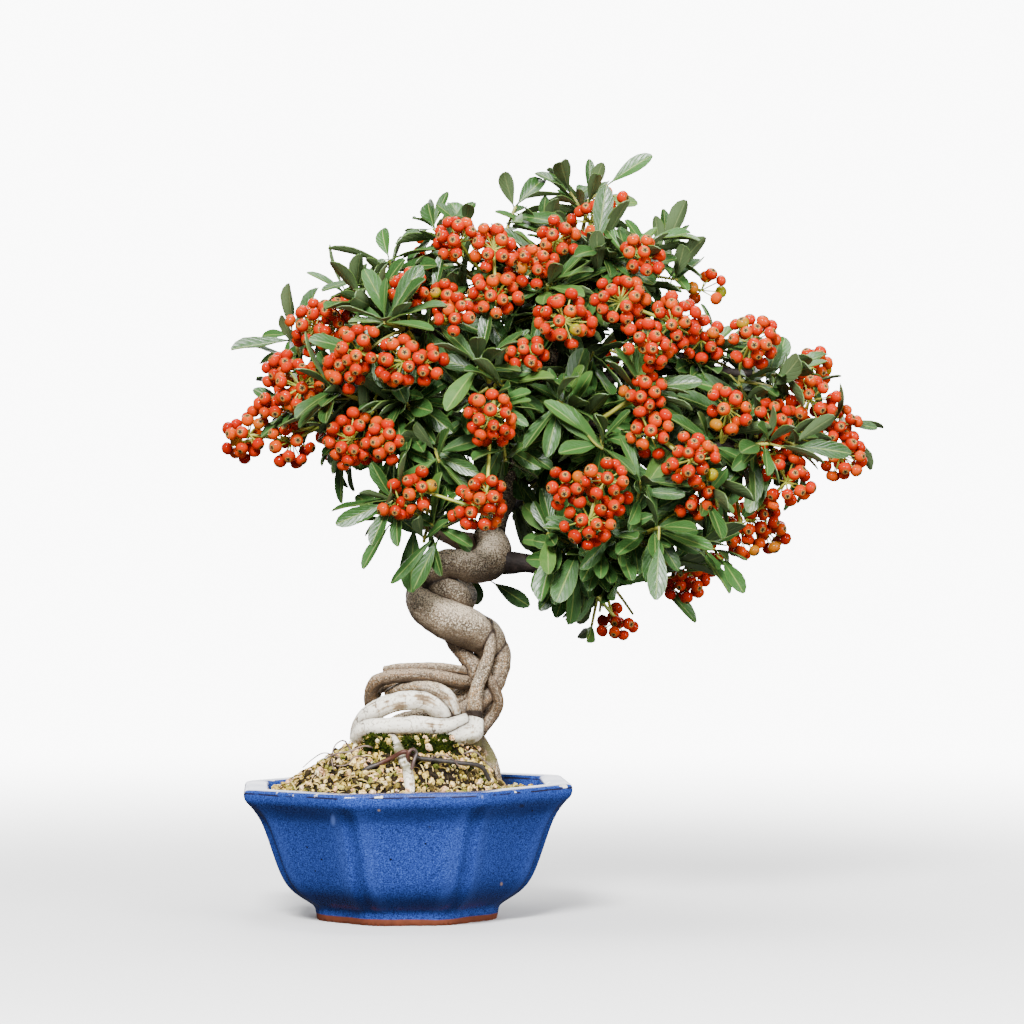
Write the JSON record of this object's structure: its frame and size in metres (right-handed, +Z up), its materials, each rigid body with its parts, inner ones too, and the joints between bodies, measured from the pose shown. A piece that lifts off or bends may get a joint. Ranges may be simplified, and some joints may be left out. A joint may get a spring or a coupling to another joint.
{
  "type": "firethorn bonsai",
  "caption": "Potted dwarf tree with a coiled grey trunk and looping bare roots, a wide crown of narrow leaves and round berries, in a fluted octagonal glazed pot",
  "frame": {"origin": "centre of the pot's foot, on the ground", "axes": "+Z up, -Y the side that the picture shows, +X to its right"},
  "size_m": [0.3354, 0.2263, 0.3872],
  "materials": {
    "blue_glaze": "glossy mid-blue glaze with fine dark specks, bare terracotta at the foot",
    "soil": "matte tan and brown granules",
    "moss": "matte dark green moss",
    "wire": "dull dark annealed wire",
    "bark": "grey-beige bark with darker flecks, nearly white on the lowest roots and dark brown in the crown",
    "berry": "glossy orange-red fruit with a dark star-shaped eye",
    "leaf": "half-glossy dark green leaf with a pale midrib"
  },
  "bodies": {
    "root": {"pot": "blue_glaze", "soil_mound": "soil", "moss_cushion": "moss", "binding_wire": "wire", "trunk_and_roots": "bark", "berries_left_tip": "berry", "berries_left": "berry", "berries_left_upper": "berry", "berries_left_front": "berry", "berries_left_low": "berry", "berries_upper_left": "berry", "berries_upper_back_left": "berry", "berries_front_middle": "berry", "berries_upper": "berry", "berries_top": "berry", "berries_front_upper": "berry", "berries_upper_right": "berry", "berries_upper_right_back": "berry", "berries_right_inner": "berry", "berries_front_low": "berry", "berries_right_upper": "berry", "berries_right": "berry", "berries_right_front": "berry", "berries_right_tip": "berry", "berries_right_low": "berry", "berries_low_back": "berry", "berries_lowest": "berry", "berries_low_left": "berry", "berries_back_left": "berry", "berries_back_middle": "berry", "berries_back_right": "berry", "berries_back_low": "berry", "leaves_crown_tip": "leaf", "leaves_upper_left": "leaf", "leaves_upper_front": "leaf", "leaves_upper_right": "leaf", "leaves_upper_right_front": "leaf", "leaves_left_upper": "leaf", "leaves_left_front": "leaf", "leaves_left_middle": "leaf", "leaves_left_inner": "leaf", "leaves_left_tip": "leaf", "leaves_front_middle": "leaf", "leaves_front_right": "leaf", "leaves_right_middle": "leaf", "leaves_right_tip": "leaf", "leaves_right_upper": "leaf", "leaves_right_upper_inner": "leaf", "leaves_low_front": "leaf", "leaves_low_front_inner": "leaf", "leaves_low_back": "leaf", "leaves_low_left": "leaf", "leaves_back_left": "leaf", "leaves_back_left_side": "leaf", "leaves_back_middle": "leaf", "leaves_back_top": "leaf", "leaves_back_inner": "leaf", "leaves_back_right": "leaf", "leaves_back_right_side": "leaf", "leaves_back_low": "leaf"}
  },
  "joints": []
}
